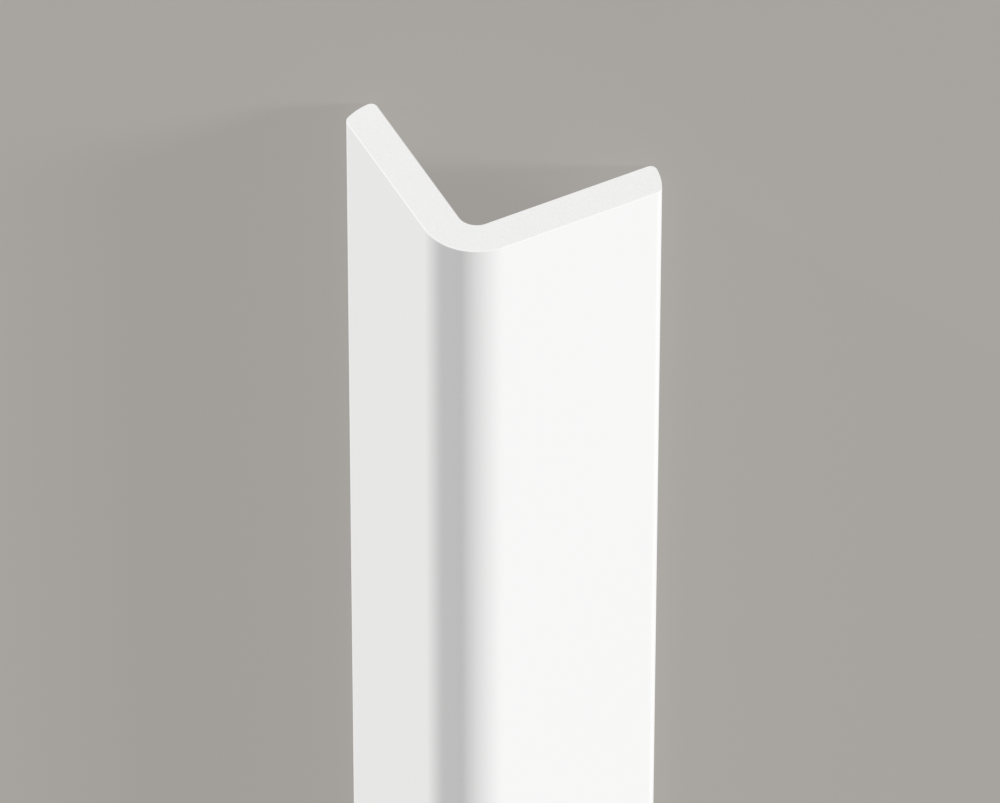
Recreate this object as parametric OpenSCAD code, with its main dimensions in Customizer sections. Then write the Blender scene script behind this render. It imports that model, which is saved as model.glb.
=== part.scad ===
// Corner moulding: an equal-legged angle in white hard polymer foam that covers an outside wall corner.
// It lies as a tent on a level floor: its length runs along Y, the rounded corner is uppermost, and both
// legs slope down at 45 degrees to rest on the back arrises of their tips.
// The origin is on the floor under the middle of the piece. All sizes are millimetres.

/* [Stock] */
// Length of the piece as sold
moulding_length = 2000; // [300:50:3000]

/* [Legs] */
// Width of each leg, from the line where the outer faces would meet to the end of the tip
leg_width = 50; // [36:0.5:90]
// Thickness of each leg, kept through the bend
leg_thickness = 7.8; // [6:0.1:12]

/* [Corner] */
// Radius of the hollow side of the bend, which clears the arris of the wall
inner_corner_radius = 4; // [1:0.5:12]

/* [Tips] */
// Radius of the slow curve across the end of each leg, which leaves the back face squarely
tip_nose_radius = 14.5; // [13:0.5:40]
// Radius that turns the end of the leg into the outer face
tip_face_radius = 2; // [0.8:0.1:4]
// Radius of the easing between the end of the leg and the back face
tip_back_radius = 1.4; // [0.4:0.1:2]

/* [Hidden] */

RIGHT_ANGLE = 90;
// Turns a section with legs along +X and +Y into the tent, with its corner uppermost
TENT_TURN = -1.5 * RIGHT_ANGLE;
// Flats in each of the three arcs of a tip
TIP_ARC_FLATS = 6;
// The circles of the bend
BEND_FACETS = 128;
FOAM_WHITE = [0.94, 0.94, 0.93];

// The bend keeps the leg's thickness, so its two arcs share one centre
outer_corner_radius = inner_corner_radius + leg_thickness;

// In a leg's own coordinates x runs from the corner to the tip, and y from the outer face to the back.
// The nose arc is centred on the line of the back face, and each small arc touches it from inside.
nose_centre = [leg_width - tip_nose_radius, leg_thickness];
face_arc_centre = touching_centre(tip_face_radius, tip_face_radius);
back_arc_centre = touching_centre(tip_back_radius, leg_thickness - tip_back_radius);
face_touch_angle = direction(face_arc_centre - nose_centre);
back_touch_angle = direction(back_arc_centre - nose_centre);

// Height of the line where the outer faces would meet, with the back arrises of both tips on the floor
tent_height = (back_arc_centre.x + back_arc_centre.y) / sqrt(2) + tip_back_radius;

function unit(angle) = [cos(angle), sin(angle)];
function direction(v) = atan2(v.y, v.x);

// Centre, at height y in the leg, of an arc of this radius that touches the nose arc from inside
function touching_centre(radius, y) =
    nose_centre + [sqrt(pow(tip_nose_radius - radius, 2) - pow(leg_thickness - y, 2)), y - leg_thickness];

// Points along an arc, up to but without its end, where the next stretch of the outline begins
function arc(centre, radius, start, end) =
    [for (i = [0 : TIP_ARC_FLATS - 1]) centre + radius * unit(start + (end - start) * i / TIP_ARC_FLATS)];

// One leg's outline, from the outer face round the shaped tip to the end of the flat back face
leg_outline = concat(
    arc(face_arc_centre, tip_face_radius, -RIGHT_ANGLE, face_touch_angle),
    arc(nose_centre, tip_nose_radius, face_touch_angle, back_touch_angle),
    arc(back_arc_centre, tip_back_radius, back_touch_angle, RIGHT_ANGLE),
    [[back_arc_centre.x, leg_thickness]]
);
// The other leg's, which is the same the other way round and with its axes swapped
other_leg_outline = [for (i = [len(leg_outline) - 1 : -1 : 0]) [leg_outline[i].y, leg_outline[i].x]];

// What a quarter circle leaves of the square around it, with the sharp corner at the origin
module spandrel(radius) {
    difference() {
        square(radius);
        translate([radius, radius]) circle(r = radius, $fn = BEND_FACETS);
    }
}

// The whole section, with its legs along +X and +Y: a square angle that loses its outer arris to one
// arc of the bend and has its inner corner filled to the other
module moulding_section() {
    inner_corner = [leg_thickness, leg_thickness];
    difference() {
        polygon(concat([[0, 0]], leg_outline, [inner_corner], other_leg_outline));
        spandrel(outer_corner_radius);
    }
    translate(inner_corner) spandrel(inner_corner_radius);
}

module corner_moulding() {
    color(FOAM_WHITE)
    rotate([RIGHT_ANGLE, 0, 0])
    linear_extrude(height = moulding_length, center = true)
    translate([0, tent_height])
    rotate(TENT_TURN)
    moulding_section();
}

corner_moulding();
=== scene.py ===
"""Blender scene for a corner moulding of white hard polymer foam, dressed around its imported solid.

The moulding is an equal-legged angle that lies as a tent on a level floor, rounded corner up, with
its length along Y. The solid gives the place and the length; this script draws the same section
finely, eases the sawn ends, and gives the coated front, the bare back and the sawn ends a finish
each.
"""
import logging
import math
from collections.abc import Sequence
from dataclasses import dataclass
from enum import IntEnum

import bpy
import numpy as np
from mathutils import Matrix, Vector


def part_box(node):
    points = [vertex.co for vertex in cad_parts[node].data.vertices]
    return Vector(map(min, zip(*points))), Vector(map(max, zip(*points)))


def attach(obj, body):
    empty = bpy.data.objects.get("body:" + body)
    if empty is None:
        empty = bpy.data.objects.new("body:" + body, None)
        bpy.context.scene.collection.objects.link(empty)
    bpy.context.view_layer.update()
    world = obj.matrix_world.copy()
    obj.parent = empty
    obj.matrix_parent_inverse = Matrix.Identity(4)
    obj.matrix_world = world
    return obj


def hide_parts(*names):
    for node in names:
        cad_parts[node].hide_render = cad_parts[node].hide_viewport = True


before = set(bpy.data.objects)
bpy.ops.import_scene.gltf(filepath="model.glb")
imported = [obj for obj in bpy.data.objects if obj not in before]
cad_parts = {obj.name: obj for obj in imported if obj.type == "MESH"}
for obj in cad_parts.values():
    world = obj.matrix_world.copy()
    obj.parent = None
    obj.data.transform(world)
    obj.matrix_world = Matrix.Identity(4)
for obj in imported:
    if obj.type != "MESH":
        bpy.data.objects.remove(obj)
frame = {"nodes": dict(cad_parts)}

MM = 0.001
QUARTER_TURN = math.pi / 2
NODE = "corner_moulding"
BODY = "root"
PIECE = "corner_moulding_dressed"
YELLOW_SHARE = 0.4
NOISE_RANGE = (0.3, 0.7)

log = logging.getLogger("moulding")


@dataclass(frozen=True)
class Stretch:
    """A run of outline points with the direction that faces out of the material at each.

    Attributes:
        points: Places in the section's plane, one row each, in metres.
        normals: Unit vectors that point out of the material, one row each.
    """

    points: np.ndarray
    normals: np.ndarray

    def reversed(self) -> "Stretch":
        """The same run, walked from its other end."""
        return Stretch(self.points[::-1], self.normals[::-1])

    def swapped(self) -> "Stretch":
        """The mirror image of the run in the line x = y."""
        return Stretch(self.points[:, ::-1], self.normals[:, ::-1])

    @staticmethod
    def joined(runs: list["Stretch"]) -> "Stretch":
        """One run made of several, each of which begins where the last one ended.

        Args:
            runs: The runs in walking order. The first point of each later run is dropped, because
                it repeats the last point of the run before it.

        Returns:
            The joined run.
        """
        rest = runs[1:]
        return Stretch(
            np.concatenate([runs[0].points] + [run.points[1:] for run in rest]),
            np.concatenate([runs[0].normals] + [run.normals[1:] for run in rest]),
        )


def arc(
    centre: np.ndarray, radius: float, start: float, end: float, steps: int, side: int = 1
) -> Stretch:
    """A circular stretch, whose point at angle a is centre + radius (cos a, sin a).

    Args:
        centre: Centre of the arc.
        radius: Its radius.
        start: First angle in radians.
        end: Last angle in radians.
        steps: Number of equal chords.
        side: 1 where the material lies inside the arc, -1 where it lies outside.

    Returns:
        The stretch, with steps + 1 points.
    """
    angle = np.linspace(start, end, steps + 1)
    away = np.stack([np.cos(angle), np.sin(angle)], axis=-1)
    return Stretch(centre + radius * away, side * away)


def flat(start: np.ndarray, end: np.ndarray, normal: np.ndarray, hold: float) -> Stretch:
    """A straight stretch with a point close to each end, so that smooth shading stays flat.

    Args:
        start: First point.
        end: Last point.
        normal: Unit vector out of the material.
        hold: How far from the ends the two inner points lie.

    Returns:
        The stretch, with five points.
    """
    length = np.linalg.norm(end - start)
    share = np.array([0.0, hold / length, 0.5, 1.0 - hold / length, 1.0])[:, None]
    return Stretch(start + share * (end - start), np.broadcast_to(normal, (share.size, 2)))


@dataclass(frozen=True)
class Section:
    """The section, in metres, with its legs along +X and +Y from the corner at the origin.

    In a leg's own coordinates x runs from the corner to the tip and y from the outer face to the
    back. Each side of the section has the same number of points, so that the ends can be closed by
    quads that reach straight across the thickness.

    Attributes:
        leg_width: From the line where the outer faces would meet to the end of the tip.
        leg_thickness: Kept through the bend.
        inner_corner_radius: Radius of the bend's hollow side.
        tip_nose_radius: Radius of the slow curve across the tip's end.
        tip_face_radius: Radius that turns the tip into the outer face.
        tip_back_radius: Radius of the easing between the tip and the back face.
        hold: Distance from a curve to a flat's next point, which keeps the flat's shading flat.
        nose_steps: Chords in half of the slow curve.
        turn_steps: Chords in each small arc of the tip.
        bend_steps: Chords in half of the bend.
    """

    leg_width: float = 50.0 * MM
    leg_thickness: float = 7.8 * MM
    inner_corner_radius: float = 4.0 * MM
    tip_nose_radius: float = 14.5 * MM
    tip_face_radius: float = 2.0 * MM
    tip_back_radius: float = 1.4 * MM
    hold: float = 0.3 * MM
    nose_steps: int = 5
    turn_steps: int = 14
    bend_steps: int = 18

    @property
    def outer_corner_radius(self) -> float:
        """Radius of the bend's outer side, concentric with the inner side."""
        return self.inner_corner_radius + self.leg_thickness

    @property
    def nose_centre(self) -> np.ndarray:
        """Centre of the slow curve across the tip's end, on the line of the back face."""
        return np.array([self.leg_width - self.tip_nose_radius, self.leg_thickness])

    def touching_centre(self, radius: float, y: float) -> np.ndarray:
        """Centre of a small arc that touches the nose arc from inside.

        Args:
            radius: The small arc's radius.
            y: Height of its centre in the leg.

        Returns:
            The centre: the two centres lie apart by the difference of the radii.
        """
        rise = y - self.leg_thickness
        run = math.sqrt((self.tip_nose_radius - radius) ** 2 - rise**2)
        return self.nose_centre + [run, rise]

    @property
    def face_arc_centre(self) -> np.ndarray:
        """Centre of the arc that turns the tip into the outer face."""
        return self.touching_centre(self.tip_face_radius, self.tip_face_radius)

    @property
    def back_arc_centre(self) -> np.ndarray:
        """Centre of the easing between the tip and the back face."""
        return self.touching_centre(self.tip_back_radius, self.leg_thickness - self.tip_back_radius)

    @property
    def tent_height(self) -> float:
        """Height of the line where the outer faces would meet, with both tips on the floor."""
        return self.back_arc_centre.sum() / math.sqrt(2.0) + self.tip_back_radius

    def touch_angle(self, centre: np.ndarray) -> float:
        """Direction, seen from the nose arc's centre, in which a small arc touches it."""
        across = centre - self.nose_centre
        return math.atan2(across[1], across[0])

    @property
    def tip_middle(self) -> float:
        """Direction of the middle of the slow curve, half-way between the two small arcs."""
        return (self.touch_angle(self.face_arc_centre) + self.touch_angle(self.back_arc_centre)) / 2

    def half(
        self, small_centre: np.ndarray, small_radius: float, bend_radius: float, out: int
    ) -> Stretch:
        """One side of a leg, from the middle of its tip to the middle of the bend.

        It follows the slow curve to where the small arc touches it, the small arc until that faces
        straight out, the flat, and half of the bend, whose two sides share one centre.

        Args:
            small_centre: Centre of this side's small arc.
            small_radius: Its radius.
            bend_radius: Radius of the bend on this side.
            out: Which way the side faces along y: -1 for the outer face, 1 for the back.

        Returns:
            The stretch.
        """
        touch = self.touch_angle(small_centre)
        y = small_centre[1] + out * small_radius
        bend_centre = np.full(2, self.outer_corner_radius)
        bend_middle = -1.5 * QUARTER_TURN
        flat_start, flat_end = np.array([[small_centre[0], y], [bend_centre[0], y]])
        return Stretch.joined([
            arc(self.nose_centre, self.tip_nose_radius, self.tip_middle, touch, self.nose_steps),
            arc(small_centre, small_radius, touch, out * QUARTER_TURN, self.turn_steps),
            flat(flat_start, flat_end, np.array([0.0, out]), self.hold),
            arc(bend_centre, bend_radius, -QUARTER_TURN, bend_middle, self.bend_steps, -out),
        ])

    def outline(self) -> Stretch:
        """The whole outline: the outer side from tip to tip, then the back to the first tip.

        The outer side is one leg's and its mirror image walked back, and so is the back.

        Returns:
            The outline, which starts in the middle of a tip and ends one step short of it.
        """
        face = self.half(self.face_arc_centre, self.tip_face_radius, self.outer_corner_radius, -1)
        back = self.half(self.back_arc_centre, self.tip_back_radius, self.inner_corner_radius, 1)
        outer = Stretch.joined([face, face.swapped().reversed()])
        inner = Stretch.joined([back, back.swapped().reversed()])
        whole = Stretch.joined([outer, inner.reversed()])
        return Stretch(whole.points[:-1], whole.normals[:-1])


class Zone(IntEnum):
    """The moulding's three finishes, in the order of its material slots."""

    FRONT = 0
    BACK = 1
    END = 2


def off_white(level: float, warmth: float) -> tuple[float, float, float, float]:
    """A white or grey that leans a little towards yellow.

    Args:
        level: Linear brightness of red.
        warmth: Share by which blue falls short of red. Green falls short by YELLOW_SHARE of it.

    Returns:
        Red, green, blue and alpha.
    """
    return (level, level * (1 - YELLOW_SHARE * warmth), level * (1 - warmth), 1.0)


class NodeBench:
    """A small helper that adds and links shader nodes in one material."""

    def __init__(self, name: str) -> None:
        """Starts an empty node material with a Principled shader and an output.

        Args:
            name: Name of the material.
        """
        self.material = bpy.data.materials.new(name)
        self.material.use_nodes = True
        self.tree = self.material.node_tree
        self.tree.nodes.clear()
        self.shader = self.add("ShaderNodeBsdfPrincipled")
        self.join(self.shader, "BSDF", self.add("ShaderNodeOutputMaterial"), "Surface")

    def add(self, kind: str, **settings: object) -> bpy.types.Node:
        """Adds a node and sets its properties.

        Args:
            kind: Blender's name for the node type.
            **settings: Properties of the node.

        Returns:
            The node.
        """
        node = self.tree.nodes.new(kind)
        for key, value in settings.items():
            setattr(node, key, value)
        return node

    def fill(self, node: bpy.types.Node, values: dict[str, object]) -> None:
        """Sets a node's inputs to plain values, by their names."""
        for name, value in values.items():
            node.inputs[name].default_value = value

    def join(
        self, source: bpy.types.Node, output: str, target: bpy.types.Node, socket: str | int
    ) -> None:
        """Links one node's output to another's input, which may be given by its place."""
        self.tree.links.new(source.outputs[output], target.inputs[socket])

    def stretched(self, across: float, along: float) -> bpy.types.Node:
        """Object coordinates scaled to repeats a metre across the section and along the length.

        Args:
            across: Repeats a metre along X and Z.
            along: Repeats a metre along Y.

        Returns:
            The Mapping node, whose Vector output holds the scaled coordinates.
        """
        mapping = self.add("ShaderNodeMapping")
        self.fill(mapping, {"Scale": (across, along, across)})
        self.join(self.add("ShaderNodeTexCoord"), "Object", mapping, "Vector")
        return mapping

    def noise(self, across: float, along: float, detail: float = 2.0) -> bpy.types.Node:
        """Smooth noise, from 0 to 1 around 0.5, which is stretched where it repeats less often.

        Args:
            across: Repeats a metre along X and Z.
            along: Repeats a metre along Y.
            detail: How many finer layers are added to it.

        Returns:
            The noise node, whose Fac output holds the pattern.
        """
        node = self.add("ShaderNodeTexNoise")
        self.fill(node, {"Scale": 1.0, "Detail": detail})
        self.join(self.stretched(across, along), "Vector", node, "Vector")
        return node

    def cells(self, repeats: float) -> bpy.types.Node:
        """Cells with rounded hollows.

        Args:
            repeats: Cells a metre.

        Returns:
            The Voronoi node, whose Distance output grows from the middle of each cell.
        """
        node = self.add("ShaderNodeTexVoronoi")
        self.fill(node, {"Scale": 1.0})
        self.join(self.stretched(repeats, repeats), "Vector", node, "Vector")
        return node

    def remap(self, noise: bpy.types.Node, low: float, high: float) -> bpy.types.Node:
        """Carries a noise over to another range, and levels off its rare extremes.

        Args:
            noise: The noise, of which little lies outside NOISE_RANGE.
            low: Value at and below the lower end of that range.
            high: Value at and above its upper end.

        Returns:
            The Map Range node, whose Result output holds the value.
        """
        node = self.add("ShaderNodeMapRange")
        bottom, top = NOISE_RANGE
        self.fill(node, {"From Min": bottom, "From Max": top, "To Min": low, "To Max": high})
        self.join(noise, "Fac", node, "Value")
        return node

    def emboss(self, layers: list[tuple[bpy.types.Node, str, float]]) -> None:
        """Gives the shader a relief made of several patterns, one on another.

        Args:
            layers: For each, the pattern, the name of its output, and the height in metres for a
                change of 1 in it.
        """
        below = None
        for pattern, output, height in layers:
            node = self.add("ShaderNodeBump")
            self.fill(node, {"Distance": height})
            self.join(pattern, output, node, "Height")
            if below is not None:
                self.join(below, "Normal", node, "Normal")
            below = node
        self.join(below, "Normal", self.shader, "Normal")


@dataclass(frozen=True)
class Finish:
    """What the three finishes share: a near-white colour and a roughness that vary a little.

    Attributes:
        name: Name of the material.
        light: Linear brightness of the lighter parts.
        dark: Linear brightness of the darker parts.
        warmth: Share by which blue falls short of red.
        smooth: Lowest roughness.
        rough: Highest roughness.
        cloud_size: Size of the light and dark clouds across the section, in metres.
        cloud_stretch: How many times longer the clouds are along the length.
        gloss: Specular level, where 0.5 is a clear plastic and less is a dull, chalky one.
        refraction: Index of refraction.
    """

    name: str
    light: float
    dark: float
    warmth: float
    smooth: float
    rough: float
    cloud_size: float
    cloud_stretch: float = 2.5
    gloss: float = 0.25
    refraction: float = 1.46

    def start(self) -> NodeBench:
        """Makes the material with its clouded colour and roughness, ready for its relief.

        Returns:
            The bench that holds it.
        """
        bench = NodeBench(self.name)
        clouds = bench.noise(1.0 / self.cloud_size, 1.0 / (self.cloud_size * self.cloud_stretch))
        tint = bench.add("ShaderNodeMix", data_type="RGBA")
        bench.fill(tint, {
            "A": off_white(self.dark, self.warmth),
            "B": off_white(self.light, self.warmth),
        })
        bench.join(bench.remap(clouds, 0.0, 1.0), "Result", tint, "Factor")
        bench.join(tint, "Result", bench.shader, "Base Color")
        roughness = bench.remap(clouds, self.rough, self.smooth)
        bench.join(roughness, "Result", bench.shader, "Roughness")
        bench.fill(bench.shader, {"IOR": self.refraction, "Specular IOR Level": self.gloss})
        return bench


@dataclass(frozen=True)
class CoatedFront(Finish):
    """The factory coat of the faces, the bend and the tips: satin, with faint peel and drawn lines.

    Attributes:
        peel_repeats: Bumps a metre in the coat.
        peel_height: Height of a bump in metres.
        line_repeats: Drawn lines a metre across the section.
        line_changes: How often a metre a line changes along its length.
        line_detail: How many finer layers the lines have.
        line_height: Depth of a line in metres.
    """

    name: str = "coated_front"
    light: float = 0.940
    dark: float = 0.930
    warmth: float = 0.002
    smooth: float = 0.44
    rough: float = 0.52
    cloud_size: float = 90 * MM
    peel_repeats: float = 520.0
    peel_height: float = 12e-6
    line_repeats: float = 900.0
    line_changes: float = 3.0
    line_detail: float = 1.0
    line_height: float = 6e-6

    def make(self) -> bpy.types.Material:
        """Makes the finished material, with the peel laid over the lines.

        Returns:
            The material.
        """
        bench = self.start()
        lines = bench.noise(self.line_repeats, self.line_changes, self.line_detail)
        peel = bench.noise(self.peel_repeats, self.peel_repeats)
        bench.emboss([(lines, "Fac", self.line_height), (peel, "Fac", self.peel_height)])
        return bench.material


@dataclass(frozen=True)
class BareBack(Finish):
    """The uncoated back: matt, with the die's lengthwise lines and the grain of the foam's skin.

    Attributes:
        line_repeats: Lines a metre across the section.
        line_changes: How often a metre a line changes along its length.
        line_detail: How many finer layers the lines have.
        line_height: Depth of a line in metres.
        grain_repeats: Grains a metre.
        grain_height: Height of a grain in metres.
    """

    name: str = "bare_back"
    light: float = 0.90
    dark: float = 0.87
    warmth: float = 0.009
    smooth: float = 0.60
    rough: float = 0.70
    cloud_size: float = 60 * MM
    line_repeats: float = 650.0
    line_changes: float = 1.5
    line_detail: float = 3.0
    line_height: float = 45e-6
    grain_repeats: float = 2200.0
    grain_height: float = 14e-6

    def make(self) -> bpy.types.Material:
        """Makes the finished material, with the grain laid over the lines.

        Returns:
            The material.
        """
        bench = self.start()
        lines = bench.noise(self.line_repeats, self.line_changes, self.line_detail)
        grain = bench.noise(self.grain_repeats, self.grain_repeats)
        bench.emboss([(lines, "Fac", self.line_height), (grain, "Fac", self.grain_height)])
        return bench.material


@dataclass(frozen=True)
class SawnEnd(Finish):
    """The sawn end: matt, with the fine closed cells that a saw opens in dense foam.

    Attributes:
        cell_repeats: Cells a metre.
        cell_depth: Depth of an opened cell in metres.
    """

    name: str = "sawn_end"
    light: float = 0.930
    dark: float = 0.915
    warmth: float = 0.002
    smooth: float = 0.58
    rough: float = 0.66
    cloud_size: float = 8 * MM
    cell_repeats: float = 2600.0
    cell_depth: float = 35e-6

    def make(self) -> bpy.types.Material:
        """Makes the finished material.

        Returns:
            The material.
        """
        bench = self.start()
        bench.emboss([(bench.cells(self.cell_repeats), "Distance", self.cell_depth)])
        return bench.material


@dataclass
class Moulding:
    """The whole piece: its section carried along the length, with eased sawn ends.

    Attributes:
        section: The section.
        near: Lowest Y of the piece, in metres, where the end that the photograph shows lies.
        far: Highest Y of the piece.
        ease: Radius of the easing round each sawn end.
        ease_steps: Chords in that easing.
        stations: Rings along the straight length, of which the first and last belong to the ends.
    """

    section: Section
    near: float
    far: float
    ease: float = 0.15 * MM
    ease_steps: int = 5
    stations: int = 41

    def rings(self) -> tuple[np.ndarray, np.ndarray]:
        """Where each ring of points lies along Y, and how far it is drawn in from the section.

        The easing is a quarter circle: at angle t its ring lies ease (1 - cos t) in from the end
        and is drawn in by ease (1 - sin t). One more ring on each side of it, as far off as the
        section's points are held from its curves, keeps smooth shading flat beyond it.

        Returns:
            The rings' Y and their inset, from one end of the piece to the other.
        """
        turn = np.linspace(0.0, QUARTER_TURN, self.ease_steps + 1)
        reach = self.ease + self.section.hold
        depth = np.concatenate([[0.0], self.ease * (1 - np.cos(turn)), [reach]])
        inset = np.concatenate([[reach], self.ease * (1 - np.sin(turn)), [0.0]])
        straight = np.linspace(self.near + depth[-1], self.far - depth[-1], self.stations)[1:-1]
        along = np.concatenate([self.near + depth, straight, (self.far - depth)[::-1]])
        drawn_in = np.concatenate([inset, np.zeros(straight.size), inset[::-1]])
        return along, drawn_in

    def placed(self, points: np.ndarray, along: np.ndarray) -> np.ndarray:
        """Turns points of the section into places in the frame.

        The legs' axes are turned by -135 degrees, so that the corner is uppermost, and lifted until
        the tips touch the floor: X = (y - x) / sqrt 2 and Z = tent height - (x + y) / sqrt 2.

        Args:
            points: Rows of section coordinates.
            along: Y for each row.

        Returns:
            Rows of X, Y and Z.
        """
        x, y = points[..., 0], points[..., 1]
        across = (y - x) / math.sqrt(2.0)
        height = self.section.tent_height - (x + y) / math.sqrt(2.0)
        return np.stack([across, np.broadcast_to(along, across.shape), height], axis=-1)

    def walls(self, rows: int, around: int) -> tuple[np.ndarray, np.ndarray]:
        """The quads between neighbouring rings, and the zone of each.

        Point i of ring r has the number r * around + i. The bare back lies between the two tips on
        the second half of the outline. The first and the last row of quads belong to the flats of
        the ends.

        Args:
            rows: Number of rings.
            around: Number of points in a ring.

        Returns:
            The quads, one row of four point numbers each, and their zones.
        """
        ring, column = np.meshgrid(np.arange(rows - 1), np.arange(around), indexing="ij")
        after = (column + 1) % around
        quads = np.stack([
            ring * around + column,
            ring * around + after,
            (ring + 1) * around + after,
            (ring + 1) * around + column,
        ], axis=-1)
        tip = self.section.nose_steps + self.section.turn_steps
        on_back = (column >= around // 2 + tip) & (column < around - tip)
        on_end = (ring == 0) | (ring == rows - 2)
        zones = np.where(on_end, Zone.END, np.where(on_back, Zone.BACK, Zone.FRONT))
        return quads.reshape(-1, 4), zones.ravel()

    def end_flat(self, around: int) -> tuple[np.ndarray, np.ndarray]:
        """The faces inside the first ring: quads across the thickness, and a triangle in each tip.

        Point i of the outer side, counted from the middle of the first tip, lies opposite point
        around - i of the back.

        Args:
            around: Number of points in the ring.

        Returns:
            The quads and the two triangles, as rows of point numbers.
        """
        middle = around // 2
        outer = np.arange(1, middle - 1)
        quads = np.stack([around - outer, around - outer - 1, outer + 1, outer], axis=-1)
        triangles = np.array([[around - 1, 1, 0], [middle + 1, middle, middle - 1]])
        return quads, triangles

    def build(self, finishes: dict[Zone, bpy.types.Material]) -> bpy.types.Object:
        """Makes the closed mesh: rings of points joined by quads, with a flat at each end.

        A ring's point is the outline's point, moved by the ring's inset against the normal there.
        The flat of the far end is that of the near end, numbered on and turned to face the other
        way.

        Args:
            finishes: The material of each zone.

        Returns:
            The piece.
        """
        outline = self.section.outline()
        along, inset = self.rings()
        drawn = outline.points[None] - inset[:, None, None] * outline.normals[None]
        places = self.placed(drawn, along[:, None])

        rows, around = places.shape[:2]
        quads, wall_zones = self.walls(rows, around)
        near_flat = self.end_flat(around)
        far_flat = [(rows - 1) * around + part[:, ::-1] for part in near_flat]
        faces = [face for part in (quads, *near_flat, *far_flat) for face in part.tolist()]
        zones = np.full(len(faces), Zone.END, dtype=np.int32)
        zones[:len(quads)] = wall_zones

        mesh = bpy.data.meshes.new(PIECE)
        mesh.from_pydata(places.reshape(-1, 3), [], faces)
        for zone in Zone:
            mesh.materials.append(finishes[zone])
        mesh.polygons.foreach_set("material_index", zones)
        mesh.polygons.foreach_set("use_smooth", np.ones(len(faces), dtype=bool))
        mesh.update()
        if mesh.validate():
            raise ValueError("the moulding's mesh had faults")
        piece = bpy.data.objects.new(PIECE, mesh)
        bpy.context.scene.collection.objects.link(piece)
        return piece


@dataclass(frozen=True)
class ViewPoint:
    """The photograph's view of the moulding's near end, kept while the piece lies down.

    The angles are counted while the piece stands on its far end, with its legs along X and Y.

    Attributes:
        turn: How far the view turns from square-on to the face of the leg along X, in degrees.
        look_down: How far it looks down, in degrees.
        roll: How far the camera is rolled, clockwise as it looks, in degrees.
        distance: From the camera to the near end's corner, along the view, in metres.
        right_of_corner: How far the view's centre lies right of that corner, in metres.
        below_corner: How far it lies below that corner, in metres.
        lens: Focal length in millimetres.
        sensor: Width of the sensor in millimetres.
        nearest: Nearest distance that the camera sees, in metres.
        farthest: Farthest distance that it sees.
    """

    turn: float = -27.119
    look_down: float = 44.757
    roll: float = -0.064
    distance: float = 2.4327
    right_of_corner: float = 9.809 * MM
    below_corner: float = 27.199 * MM
    lens: float = 436.44
    sensor: float = 36.0
    nearest: float = 0.05
    farthest: float = 200.0

    def axes(self) -> tuple[np.ndarray, np.ndarray, np.ndarray]:
        """The view's right, up and forward directions, turned with the piece into the frame.

        Standing, right is (cos t, sin t, 0) and forward is the level direction (-sin t, cos t, 0)
        tipped down by the look-down angle. The roll turns right and up about it. Lying down maps
        x, y, z to X = (y - x) / sqrt 2, Y = -z, Z = -(x + y) / sqrt 2.

        Returns:
            The three unit vectors.
        """
        turn, down, roll = (math.radians(angle) for angle in (self.turn, self.look_down, self.roll))
        level = np.array([math.cos(turn), math.sin(turn), 0.0])
        ahead = np.array([-math.sin(turn), math.cos(turn), 0.0])
        upright = np.array([0.0, 0.0, 1.0])
        forward = math.cos(down) * ahead - math.sin(down) * upright
        above = math.sin(down) * ahead + math.cos(down) * upright
        right = math.cos(roll) * level - math.sin(roll) * above
        up = math.cos(roll) * above + math.sin(roll) * level
        half = math.sqrt(0.5)
        lie_down = np.array([[-half, half, 0.0], [0.0, 0.0, -1.0], [-half, -half, 0.0]])
        return lie_down @ right, lie_down @ up, lie_down @ forward

    def build(self, corner: np.ndarray) -> bpy.types.Object:
        """Makes the scene's camera.

        Args:
            corner: Where the outer faces would meet on the near end.

        Returns:
            The camera.
        """
        right, up, forward = self.axes()
        centre = corner + self.right_of_corner * right - self.below_corner * up
        lens = bpy.data.cameras.new("photo_view")
        lens.lens, lens.sensor_width = self.lens, self.sensor
        lens.clip_start, lens.clip_end = self.nearest, self.farthest
        camera = bpy.data.objects.new("photo_view", lens)
        matrix = np.eye(4)
        matrix[:3, :3] = np.stack([right, up, -forward], axis=-1)
        matrix[:3, 3] = centre - self.distance * forward
        camera.matrix_world = matrix.T.tolist()
        bpy.context.scene.collection.objects.link(camera)
        bpy.context.scene.camera = camera
        return camera


@dataclass(frozen=True)
class Lamp:
    """A soft, distant lamp.

    Attributes:
        name: Its name.
        azimuth: Where it stands, in degrees: 0 is on the side of -Y and 90 on that of +X.
        elevation: Its height above the horizon, in degrees.
        strength: Light on a surface square to it.
        spread: Its apparent size in degrees.
    """

    name: str
    azimuth: float
    elevation: float
    strength: float
    spread: float

    def build(self) -> bpy.types.Object:
        """Makes the lamp, which shines towards the origin from its azimuth and elevation.

        Returns:
            The lamp.
        """
        sun = bpy.data.lights.new(self.name, "SUN")
        sun.energy, sun.angle = self.strength * math.pi, math.radians(self.spread)
        lamp = bpy.data.objects.new(self.name, sun)
        tilt = QUARTER_TURN - math.radians(self.elevation)
        lamp.rotation_euler = (tilt, 0.0, math.radians(self.azimuth))
        bpy.context.scene.collection.objects.link(lamp)
        return lamp


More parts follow.
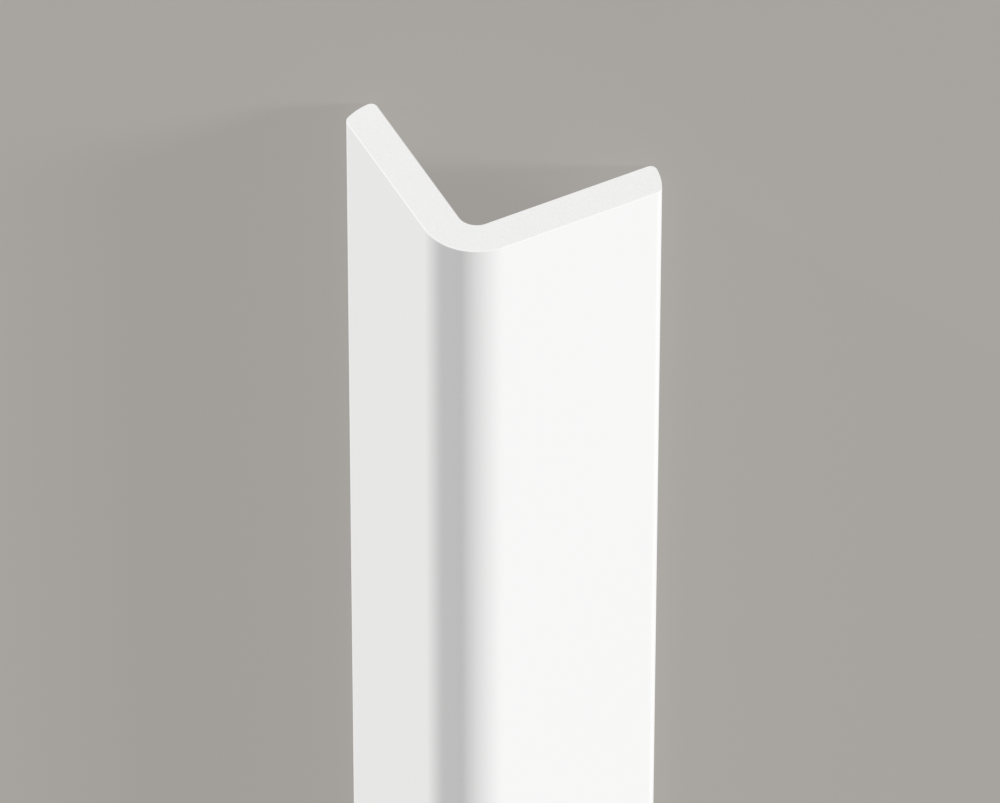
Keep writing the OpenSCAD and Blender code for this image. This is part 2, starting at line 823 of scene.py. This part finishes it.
@dataclass(frozen=True)
class Studio:
    """Plain floor and soft light.

    Attributes:
        reach: Half the floor's side in metres.
        floor_level: Linear brightness of the floor's colour.
        floor_glow: Brightness added where the floor is seen, which keeps it pale.
        floor_fill: Share of that glow which the floor throws up as light.
        floor_warmth: Share by which blue falls short of red in both.
        floor_gloss: The floor's specular level, which is nil so that no low lamp shines in it.
        sky: Even light from all round.
        lamps: The lamps.
    """

    reach: float = 80.0
    floor_level: float = 0.10
    floor_glow: float = 0.335
    floor_fill: float = 0.25
    floor_warmth: float = 0.10
    floor_gloss: float = 0.0
    sky: float = 0.19
    lamps: tuple[Lamp, ...] = (
        Lamp("key", azimuth=-68.0, elevation=18.0, strength=0.99, spread=9.0),
        Lamp("side", azimuth=66.0, elevation=2.0, strength=1.06, spread=4.0),
        Lamp("back", azimuth=180.0, elevation=1.0, strength=0.55, spread=2.0),
    )

    def paper(self) -> bpy.types.Material:
        """Makes matt paper that glows evenly where it is seen or mirrored, and takes shadows.

        The glow's strength is 1 where one of the three tests of the ray holds, and otherwise the
        share that lights the piece from below.

        Returns:
            The material.
        """
        bench = NodeBench("paper_floor")
        bench.fill(bench.shader, {
            "Base Color": off_white(self.floor_level, self.floor_warmth),
            "Specular IOR Level": self.floor_gloss,
            "Emission Color": off_white(self.floor_glow, self.floor_warmth),
        })
        path = bench.add("ShaderNodeLightPath")
        glow = bench.add("ShaderNodeMath", operation="MAXIMUM")
        bench.join(path, "Is Camera Ray", glow, 0)
        glow.inputs[1].default_value = self.floor_fill
        for ray in ("Is Glossy Ray", "Is Transmission Ray"):
            greater = bench.add("ShaderNodeMath", operation="MAXIMUM")
            bench.join(path, ray, greater, 0)
            bench.join(glow, "Value", greater, 1)
            glow = greater
        bench.join(glow, "Value", bench.shader, "Emission Strength")
        return bench.material

    def build(self) -> None:
        """Makes the floor, the even sky and the lamps."""
        corners = self.reach * np.array([[-1, -1, 0], [1, -1, 0], [1, 1, 0], [-1, 1, 0]])
        mesh = bpy.data.meshes.new("floor")
        mesh.from_pydata(corners.tolist(), [], [(0, 1, 2, 3)])
        mesh.materials.append(self.paper())
        floor = bpy.data.objects.new("floor", mesh)
        bpy.context.scene.collection.objects.link(floor)
        world = bpy.data.worlds.new("even_sky")
        world.use_nodes = True
        sky = world.node_tree.nodes["Background"]
        sky.inputs["Color"].default_value = off_white(1.0, 0.0)
        sky.inputs["Strength"].default_value = self.sky
        bpy.context.scene.world = world
        for lamp in self.lamps:
            lamp.build()


def main() -> None:
    """Builds the camera, the moulding and the studio."""
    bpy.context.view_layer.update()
    logging.basicConfig(level=logging.INFO, format="%(name)s: %(message)s")
    log.info("nodes in the frame: %s", ", ".join(frame["nodes"]))
    low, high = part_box(NODE)
    section = Section()

    ViewPoint().build(np.array([0.0, low[1], section.tent_height]))
    log.info("camera on the end at Y = %.3f m", low[1])

    finishes = {
        Zone.FRONT: CoatedFront().make(),
        Zone.BACK: BareBack().make(),
        Zone.END: SawnEnd().make(),
    }
    log.info("finishes: %s", ", ".join(material.name for material in finishes.values()))
    piece = Moulding(section, low[1], high[1]).build(finishes)
    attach(piece, BODY)
    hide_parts(NODE)
    log.info("%s: %d faces", piece.name, len(piece.data.polygons))

    Studio().build()
    bpy.context.scene.view_settings.view_transform = "Standard"


if __name__ == "__main__":
    main()
